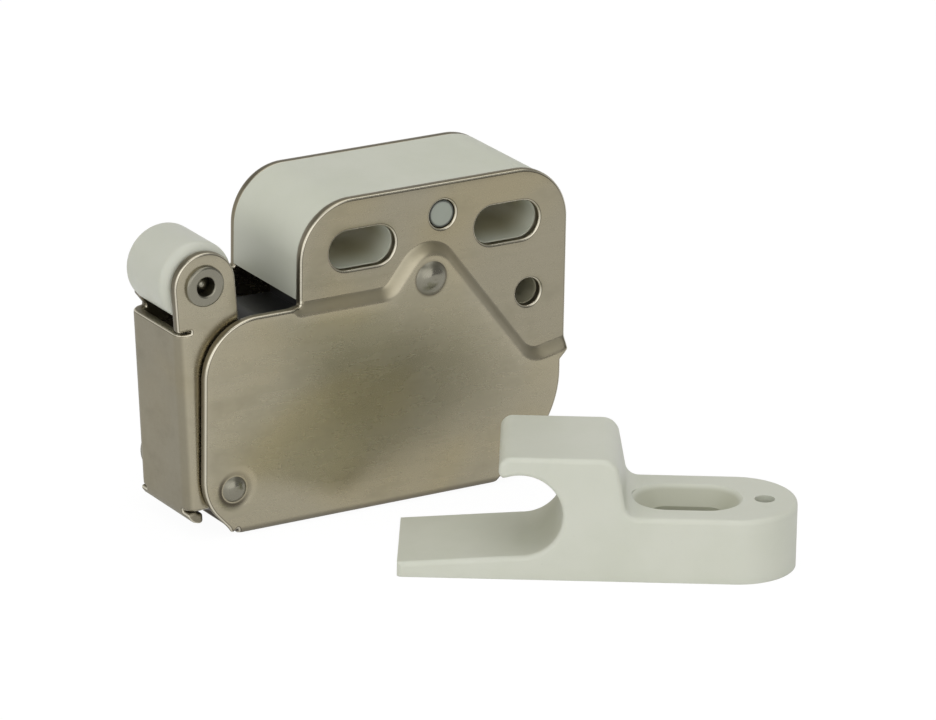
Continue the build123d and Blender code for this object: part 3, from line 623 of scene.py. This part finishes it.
def casing_shape(sizes):
    """Takes the casing's flat blank to the folded sheet.

    t is the distance down the near plate from the first fold, then round the fold,
    along the bottom web, round the second fold and up the far plate. The pan rises by
    pan_rise times a smooth step of the distance from the step line.
    """
    sheet, rise, width = sizes.sheet / MM, sizes.pan_rise / MM, sizes.step_width / MM
    bend = 0.62
    fold_z = FOOT_Z + sheet / 2 + bend
    near = PAN_Y + sheet / 2
    far = -sheet / 2
    web = far - near - 2 * bend
    arc_length = bend * pi / 2
    line = np.array(rounded([
        (PAN_LEFT - 20, 30, 0),
        (-PLATE_END - 0.5, 30, 0),
        (-PLATE_END - 0.5, PAN_TOP_Z, 0.3),
        (CAM_X - (APEX_Z - PAN_TOP_Z) / tan(FLANK), PAN_TOP_Z, 1.6),
        (CAM_X, APEX_Z, 3.2),
        (CAM_X + (APEX_Z - STEP_LOW_Z) / tan(FLANK), STEP_LOW_Z, 2.0),
        (PLATE_END + 9, STEP_LOW_Z + 2.6, 0),
        (PLATE_END + 9, -80, 0),
        (PAN_LEFT - 20, -80, 0),
    ], 0.35))

    def inside(points):
        """Distance past the step line into the pan, negative outside it."""
        return np.where(within(points, line), 1, -1) * away(points, [line])

    def step(points):
        """0 on the upper zone, 1 on the pan."""
        share = np.clip((inside(points) + 0.3 * width) / width, 0, 1)
        return share * share * (3 - 2 * share)

    def shape(flat):
        x, t = flat.T
        first = np.clip(t / bend, 0, pi / 2)
        second = np.clip((t - arc_length - web) / bend, 0, pi / 2)
        along = np.clip(t - arc_length, 0, web)
        up = np.maximum(t - 2 * arc_length - web, 0)
        y = near + bend * (1 - np.cos(first)) + along + bend * np.sin(second)
        z = fold_z - np.minimum(t, 0) - bend * np.sin(first) + bend * (1 - np.cos(second)) + up
        normal = np.stack([
            0 * x, -np.cos(first) + np.sin(second), -np.sin(first) * np.cos(second),
        ], 1)
        plate = t < 0.01
        front = np.stack([x, z], 1)[plate]
        eps = 0.03
        height = np.zeros(len(x))
        slope = np.zeros((len(x), 2))

        def relief(p):
            reach = np.hypot(p[:, 0] - PIVOT_X, p[:, 1] - PIVOT_Z)
            dish = np.clip(1 - np.maximum(reach - 1.55, 0) / 0.9, 0, 1)
            return rise * (1 - step(p)) + sizes.dimple / MM * dish * dish * (3 - 2 * dish)

        height[plate] = relief(front)
        for axis in (0, 1):
            shift = np.eye(2)[axis] * eps
            slope[plate, axis] = 0.35 * (relief(front + shift) - relief(front - shift)) / (2 * eps)
        normal[:, 0] += slope[:, 0]
        normal[:, 2] += slope[:, 1]
        normal /= np.linalg.norm(normal, axis=1)[:, None]
        return np.stack([x, y + height, z], 1), normal

    def near_t(z):
        return fold_z - z

    def far_t(z):
        return z - fold_z + 2 * arc_length + web

    def plate(left, inset):
        """Outline of a plate, from the left end of its fold to the right end."""
        side = PLATE_END - inset
        return [
            (left, FOOT_Z + WEB_LEFT - left, 5.8),
            (left, PAN_TOP_Z, 5.8),
            (-side, PAN_TOP_Z, 0.25),
            (-side, TOP_Z - inset / 2, 5.8 - inset),
            (side, TOP_Z - inset / 2, 5.8 - inset),
            (side, SHOULDER_Z - inset, 0.2),
            (PAN_RIGHT, SHOULDER_Z - (PLATE_END - PAN_RIGHT), 0.2),
            (PAN_RIGHT, FOOT_Z + 6.9, 10.0),
        ]

    ends = 2 * arc_length + web
    foot_left = [
        (WEB_LEFT - 1.25, 0.05, 0.12), (WEB_LEFT - 0.75, 0.62, 0.3), (WEB_LEFT - 0.2, 0.2, 0.15),
    ]
    foot_right = [
        (WEB_RIGHT + 0.2, 0.2, 0.15), (WEB_RIGHT + 0.75, 0.62, 0.3), (WEB_RIGHT + 1.25, 0.05, 0.12),
    ]
    corners = [(x, near_t(z), r) for x, z, r in plate(PAN_LEFT, 0.0)]
    corners += [(x, t, r) for x, t, r in reversed(foot_right)]
    corners += [(WEB_RIGHT, 0.5, 0.2), (WEB_RIGHT, ends - 0.5, 0.2)]
    corners += [(x, ends - t, r) for x, t, r in foot_right]
    corners += [(x, far_t(z), r) for x, z, r in reversed(plate(FAR_LEFT, FAR_INSET))]
    corners += [(x, ends - t, r) for x, t, r in foot_left]
    corners += [(WEB_LEFT, ends - 0.5, 0.2), (WEB_LEFT, 0.5, 0.2)]
    corners += [(x, t, r) for x, t, r in reversed(foot_left)]
    blank = rounded(corners)
    holes = []
    for to_t in (near_t, far_t):
        holes += [
            slot_loop(-SLOT_X, to_t(0), SLOT_LONG, SLOT_WIDE),
            slot_loop(SLOT_X, to_t(0), SLOT_LONG, SLOT_WIDE),
            ring(PEG_X, to_t(PEG_Z), PEG_HOLE_R), ring(FIXING_X, to_t(FIXING_Z), FIXING_R),
        ]

    def busy(flat):
        """Near the dimple and the folds."""
        x, t = flat.T
        on_dimple = (t < 0) & (np.hypot(x - PIVOT_X, fold_z - t - PIVOT_Z) < 2.8)
        near_fold = np.abs(t - arc_length / 2) < 0.9
        far_fold = np.abs(t - ends + arc_length / 2) < 0.9
        return on_dimple | near_fold | far_fold

    def band(flat):
        """On the slope of the step."""
        depth = inside(np.stack([flat[:, 0], fold_z - flat[:, 1]], 1)) / width
        return (flat[:, 1] < 0) & (depth > -0.42) & (depth < 0.82)

    along = np.roll(line, -1, 0) - np.roll(line, 1, 0)
    inward = np.stack([-along[:, 1], along[:, 0]], 1) / np.linalg.norm(along, axis=1)[:, None]
    inward *= np.where(within(line + inward * 0.01, line), 1, -1)[:, None]
    depths = np.linspace(-0.3, 0.7, 13) * width
    rows = (line + inward * depths[:, None, None]).reshape(-1, 2)
    level = np.repeat(depths, len(line))
    rows = rows[(np.abs(inside(rows) - level) < 0.02) & (np.abs(rows) < 40).all(1)]
    rows = np.stack([rows[:, 0], fold_z - rows[:, 1]], 1)
    return blank, holes, shape, busy, rows, band


class CATCH_OT_casing(Operator):
    """Makes the casing: one pressed and folded sheet with a drawn pan"""

    bl_idname = "catch.casing"
    bl_label = "Make the casing"

    def execute(self, context):
        sizes, colours = context.scene.catch_sizes, context.scene.catch_colours
        blank, holes, shape, busy, rows, band = casing_shape(sizes)
        points, faces, cut = pressed_sheet(
            blank, holes, shape, sizes.sheet / MM / 2, sizes.rim / MM, 1.2, 0.24, busy, rows, band
        )
        # low, pan and rivets place painted shade: the bottom fold, the zone behind the pan and the
        # rings round both rivets
        steel = plated(
            "Plated casing", colours.nickel, colours.nickel_tan, colours.cut,
            low=FOOT_Z, pan=PAN_Y, rivets=((PIVOT_X, PIVOT_Z), (CAM_X, CAM_Z)),
        )
        made = new_piece("casing_sheet", points, faces, steel, "casing", cut)
        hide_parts("casing")
        return {"FINISHED"}


# --- Roller arm -------------------------------------------------------------
# v runs across the arm from its pivot towards its open side, u runs along it
AXLE_V, AXLE_U = -1.5, 21.2
ARM_LEAN = atan2(PIVOT_X - ROLLER_X, ROLLER_Z - PIVOT_Z) + atan2(AXLE_V, AXLE_U)
WEB_V, OPEN_V = -4.55, 2.2
WEB_FOOT_U, WEB_TOP_U, FOOT_U = -1.9, 16.6, -2.6
EAR_FOOT_U = WEB_TOP_U + 0.3
NEAR_EAR_R, FAR_EAR_R = 3.3, 2.6


def arm_shape(sizes):
    """Takes the roller arm's flat blank to the folded sheet.

    s is the distance across the blank from the middle of the web, u the distance along
    the arm. Past the web's half width the sheet turns a quarter circle into a flange.
    The ears above the web's top stay in their flange's plane. Below the web's foot the
    sheet curls inwards in a quarter circle.
    """
    sheet = sizes.arm_sheet / MM
    bend, curl = 1.3 - sheet / 2, 1.4 - sheet / 2
    middle = (ARM_NEAR_Y + ARM_FAR_Y) / 2
    half = (ARM_FAR_Y - ARM_NEAR_Y) / 2 - sheet / 2
    flat_web = half - bend
    flange = flat_web + bend * pi / 2
    web_v = WEB_V + sheet / 2
    fold_v = web_v + bend

    def shape(blank):
        s, u = blank.T
        hand = np.where(s < 0, -1, 1)
        across = np.abs(s)
        turn = np.clip((across - flat_web) / bend, 0, pi / 2)
        v = fold_v - bend * np.cos(turn) + np.maximum(across - flange, 0)
        y = np.minimum(across, flat_web) + bend * np.sin(turn)
        normal_v, normal_y, normal_u = -np.cos(turn), np.sin(turn), 0 * turn
        ear = u > (WEB_TOP_U + EAR_FOOT_U) / 2
        v = np.where(ear, fold_v + across - flange, v)
        y = np.where(ear, half, y)
        normal_v, normal_y = np.where(ear, 0, normal_v), np.where(ear, 1, normal_y)
        lip = (u < WEB_FOOT_U - 0.01) & (across < half + 0.35)
        y = np.where(lip, across, y)
        normal_y = np.where(lip, 0, normal_y)
        roll = np.clip((WEB_FOOT_U - u) / curl, 0, pi / 2)
        past = np.maximum(WEB_FOOT_U - u - curl * pi / 2, 0)
        v = np.where(lip, web_v + curl * (1 - np.cos(roll)) + past, v)
        u = np.where(lip, WEB_FOOT_U - curl * np.sin(roll), u)
        normal_v = np.where(lip, -np.cos(roll), normal_v)
        normal_u = np.where(lip, -np.sin(roll), normal_u)
        x = PIVOT_X + v * cos(ARM_LEAN) - u * sin(ARM_LEAN)
        z = PIVOT_Z + v * sin(ARM_LEAN) + u * cos(ARM_LEAN)
        normal = np.stack([
            normal_v * cos(ARM_LEAN) - normal_u * sin(ARM_LEAN), hand * normal_y,
            normal_v * sin(ARM_LEAN) + normal_u * cos(ARM_LEAN),
        ], 1)
        return np.stack([x, middle + hand * y, z], 1), normal

    def on_blank(v):
        """Distance across the blank of a place on a flange."""
        return flange + v - fold_v

    def side(ear_r, ear_left, ear_low):
        """One half of the outline, from the web's top down to the lip, with s positive."""
        return [
            (on_blank(-3.15), WEB_TOP_U, 0.1), (on_blank(-3.15), EAR_FOOT_U, 0.1),
            (on_blank(ear_left), ear_low, 0.3),
            (on_blank(AXLE_V - ear_r), AXLE_U + ear_r, ear_r * 0.998),
            (on_blank(AXLE_V + ear_r), AXLE_U + ear_r, ear_r * 0.998),
            (on_blank(OPEN_V), WEB_TOP_U - 1.0, 3.0), (on_blank(OPEN_V), FOOT_U, 2.4),
            (on_blank(-1.65), FOOT_U, 0.2), (on_blank(-1.65), WEB_FOOT_U, 0.2),
            (flat_web - 0.12, WEB_FOOT_U, 0.05), (flat_web - 0.12, WEB_FOOT_U - 0.14, 0.05),
            (half + 0.3, WEB_FOOT_U - 0.14, 0.25), (half + 0.3, WEB_FOOT_U - 1.75, 0.5),
        ]

    far = side(FAR_EAR_R, -3.9, 18.0)
    near = side(NEAR_EAR_R, -4.65, EAR_FOOT_U + 0.02)
    outline = rounded(far + [(-s, u, r) for s, u, r in reversed(near)])
    holes = [ring(on_blank(0.3), 11.0, 0.55, 20)]
    for hand in (-1, 1):
        holes += [ring(hand * on_blank(AXLE_V), AXLE_U, 1.3, 32), ring(hand * on_blank(0), 0, 1.85)]

    def busy(blank):
        """On the folds, the slits and the curl."""
        s, u = blank.T
        fold = (np.abs(np.abs(s) - (flat_web + flange) / 2) < 0.9) & (u < EAR_FOOT_U + 0.6)
        return fold | (u < WEB_FOOT_U + 0.3)

    return outline, holes, shape, busy


class CATCH_OT_arm(Operator):
    """Makes the roller arm, a folded channel with two ears and a curled lip"""

    bl_idname = "catch.arm"
    bl_label = "Make the roller arm"

    def execute(self, context):
        sizes, colours = context.scene.catch_sizes, context.scene.catch_colours
        outline, holes, shape, busy = arm_shape(sizes)
        points, faces, cut = pressed_sheet(
            outline, holes, shape, sizes.arm_sheet / MM / 2, sizes.arm_rim / MM, 0.9, 0.22, busy
        )
        # web=0.30 is painted shade: the arm's faces towards -X are darker
        steel = plated(
            "Plated arm", colours.nickel, colours.nickel_tan, colours.cut, radians(90), web=0.30
        )
        made = new_piece("arm_channel", points, faces, steel, "arm", cut)
        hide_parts("roller_arm")
        return {"FINISHED"}


class CATCH_OT_roller(Operator):
    """Makes the roller, a turned barrel with round ends"""

    bl_idname = "catch.roller"
    bl_label = "Make the roller"

    def execute(self, context):
        sizes, colours = context.scene.catch_sizes, context.scene.catch_colours
        near, far = ROLLER_LOW[1], ROLLER_HIGH[1]
        outer = (ROLLER_HIGH[0] - ROLLER_LOW[0]) / 2
        edge, bore = sizes.roller_edge / MM, 1.4
        profile = np.concatenate([
            [(bore, near + 0.3)],
            arc(bore + 0.3, near + 0.3, 0.3, 180, 270, 5),
            arc(outer - edge, near + edge, edge, 270, 360, 17),
            arc(outer - edge, far - edge, edge, 0, 90, 17),
            arc(bore + 0.3, far - 0.3, 0.3, 90, 180, 5),
            [(bore, near + 0.3)],
        ])
        points, faces = turned_piece(profile, ROLLER_X, ROLLER_Z, 128)
        plastic = moulded("Roller plastic", colours.acetal, 0.38, 0.3)
        made = sealed(new_piece("roller_barrel", points, faces, plastic, "roller"))
        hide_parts("roller")
        return {"FINISHED"}


class CATCH_OT_rivets(Operator):
    """Finishes the rivets, the eyelet and the pivot bushes"""

    bl_idname = "catch.rivets"
    bl_label = "Make the rivets"

    def execute(self, context):
        colours = context.scene.catch_colours
        steel = plated("Plated rivets", colours.rivet, colours.rivet, colours.cut, 0.0, 0.2, 0.01)
        near = AXLE_LOW[1] + 1.1
        profile = [
            (0.0, near - 0.35), *arc(0.0, near + 0.25, 0.6, 270, 345, 7)[1:], (0.93, near + 0.35),
            (0.93, AXLE_HIGH[1] - 1.2), (0.0, AXLE_HIGH[1] - 1.2),
        ]
        points, faces = turned_piece(profile, ROLLER_X, ROLLER_Z, 48)
        sealed(new_piece("axle_core", points, faces, steel, "arm"))
        for node in (
            "roller_axle", "arm_pivot_rivet", "centre_rivet", "centre_sleeve",
            "pivot_bush_near", "pivot_bush_far",
        ):
            dress(node, steel)
        return {"FINISHED"}


class CATCH_OT_block(Operator):
    """Finishes the moulded spacer block"""

    bl_idname = "catch.block"
    bl_label = "Make the spacer block"

    def execute(self, context):
        colours = context.scene.catch_colours
        dress("spacer_block", moulded(
            "Block nylon", colours.nylon, shade=lambda s: screw_holes(s, colours)
        ))
        return {"FINISHED"}


class CATCH_OT_mechanism(Operator):
    """Finishes the cam, the follower wire and the springs"""

    bl_idname = "catch.mechanism"
    bl_label = "Make the mechanism"

    def execute(self, context):
        colours = context.scene.catch_colours
        dress("cam_rocker", moulded("Cam plastic", colours.black, 0.35, 0.0))
        wire = drawn_wire("Spring wire", colours.wire, (2500.0, 300.0, 2500.0))
        for node in ("follower_wire", "arm_spring", "cam_spring"):
            dress(node, wire)
        return {"FINISHED"}


class CATCH_OT_strike(Operator):
    """Finishes the moulded strike"""

    bl_idname = "catch.strike"
    bl_label = "Make the strike"

    def execute(self, context):
        colours = context.scene.catch_colours
        dress("strike", moulded(
            "Strike nylon", colours.strike, shade=lambda s: screw_recess(s, colours)
        ))
        return {"FINISHED"}


class CATCH_OT_stage(Operator):
    """Makes the floor, the world, the lamps and the camera"""

    bl_idname = "catch.stage"
    bl_label = "Set the stage"

    def execute(self, context):
        scene, colours = context.scene, context.scene.catch_colours
        scene.view_settings.view_transform = "Standard"
        u, v = np.meshgrid(np.linspace(-3, 3, 9), np.linspace(-3, 3, 9))
        points = np.stack([u.ravel(), v.ravel(), np.full(81, FOOT_Z * MM)], 1)
        row, column = np.meshgrid(np.arange(8), np.arange(8), indexing="ij")
        a = row * 9 + column
        mesh = bpy.data.meshes.new("floor")
        squares = np.stack([a, a + 1, a + 10, a + 9], 2).reshape(-1, 4)
        mesh.from_pydata(points.tolist(), [], squares.tolist())
        floor = bpy.data.objects.new("floor", mesh)
        scene.collection.objects.link(floor)

        s = Shader("Floor")
        seen = s.node("ShaderNodeLightPath", output="Is Camera Ray")
        mirrored = s.node("ShaderNodeLightPath", output="Is Glossy Ray")
        through = s.node("ShaderNodeLightPath", output="Is Transmission Ray")
        matt = s.node("ShaderNodeBsdfDiffuse", {}, {"Color": tuple(colours.floor)})
        white = s.node("ShaderNodeEmission", {}, {"Color": (1.0, 1.0, 1.0), "Strength": 1.04})
        share = (seen * 0.92 + mirrored * 0.38 + through * 0.6).limited()
        mixed = s.node("ShaderNodeMixShader", {}, {0: share, 1: matt, 2: white})
        s.node("ShaderNodeOutputMaterial", {}, {"Surface": mixed})
        mesh.materials.append(s.material)

        world = bpy.data.worlds.new("Studio")
        scene.world = world
        w = Shader("Studio", world)
        seen = w.node("ShaderNodeLightPath", output="Is Camera Ray")
        mirrored = w.node("ShaderNodeLightPath", output="Is Glossy Ray")
        through = w.node("ShaderNodeLightPath", output="Is Transmission Ray")
        where = w.node("ShaderNodeTexCoord", output="Generated")
        height = w.node("ShaderNodeSeparateXYZ", {}, {"Vector": where}, output="Z")
        behind = w.node("ShaderNodeSeparateXYZ", {}, {"Vector": where}, output="Y")
        soft = w.node("ShaderNodeBackground", {}, {"Color": (1.0, 0.995, 0.97), "Strength": 0.35})
        walls = w.blend(behind.between(-0.5, 0.5), (0.40, 0.40, 0.40), (1.0, 0.99, 0.97))
        sheen = w.node("ShaderNodeBackground", {}, {
            "Color": w.blend(height.between(0.25, 0.6), walls, (0.30, 0.30, 0.28)),
            "Strength": 0.8,
        })
        plain = w.node("ShaderNodeBackground", {}, {"Color": (1.0, 1.0, 1.0), "Strength": 1.0})
        lit = w.node("ShaderNodeMixShader", {}, {0: mirrored, 1: soft, 2: sheen})
        lit = w.node("ShaderNodeMixShader", {}, {0: (seen + through).limited(), 1: lit, 2: plain})
        w.node("ShaderNodeOutputWorld", {}, {"Surface": lit})

        target = Vector((4.10, -14.21, -13.73)) * MM
        for name, place, size, power in (
            ("key", (-0.18, -0.64, 0.21), 0.80, 2.2),
            ("left", (-0.60, -0.12, 0.18), 0.60, 1.15),
            ("top", (0.06, 0.04, 0.70), 0.80, 2.2),
        ):
            lamp = bpy.data.lights.new(name, "AREA")
            lamp.shape, lamp.size, lamp.energy = "SQUARE", size, power
            holder = bpy.data.objects.new(name, lamp)
            scene.collection.objects.link(holder)
            holder.location = Vector(place)
            holder.rotation_mode = "QUATERNION"
            holder.rotation_quaternion = (target - Vector(place)).to_track_quat("-Z", "Y")

        camera = bpy.data.objects.new("camera", bpy.data.cameras.new("camera"))
        scene.collection.objects.link(camera)
        across, up, roll = radians(31.51), radians(19.69), radians(1.01)
        ahead = Vector((sin(across) * cos(up), cos(across) * cos(up), -sin(up)))
        camera.location = target - ahead * 0.660
        camera.rotation_mode = "QUATERNION"
        camera.rotation_quaternion = ahead.to_track_quat("-Z", "Y") @ Quaternion((0, 0, 1), roll)
        camera.data.sensor_width = 36.0
        camera.data.lens = 256.3
        camera.data.clip_start, camera.data.clip_end = 0.01, 20.0
        scene.camera = camera
        return {"FINISHED"}


PIECES = (
    CATCH_OT_stage, CATCH_OT_casing, CATCH_OT_block, CATCH_OT_arm, CATCH_OT_roller,
    CATCH_OT_rivets, CATCH_OT_mechanism, CATCH_OT_strike,
)


class CATCH_PT_pieces(Panel):
    """Lists the catch's pieces, sizes and colours"""

    bl_idname = "CATCH_PT_pieces"
    bl_label = "Roller catch"
    bl_space_type = "VIEW_3D"
    bl_region_type = "UI"
    bl_category = "Catch"

    def draw(self, context):
        for piece in PIECES:
            self.layout.operator(piece.bl_idname)
        for group in (context.scene.catch_sizes, context.scene.catch_colours):
            column = self.layout.column()
            for name in group.__annotations__:
                column.prop(group, name)


CLASSES = (CatchSizes, CatchColours, *PIECES, CATCH_PT_pieces)


def register():
    for item in CLASSES:
        bpy.utils.register_class(item)
    bpy.types.Scene.catch_sizes = PointerProperty(type=CatchSizes)
    bpy.types.Scene.catch_colours = PointerProperty(type=CatchColours)


def unregister():
    del bpy.types.Scene.catch_colours
    del bpy.types.Scene.catch_sizes
    for item in reversed(CLASSES):
        bpy.utils.unregister_class(item)


def main():
    """Registers the add-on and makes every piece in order."""
    register()
    for piece in PIECES:
        group, name = piece.bl_idname.split(".")
        getattr(getattr(bpy.ops, group), name)()


if __name__ == "__main__":
    main()
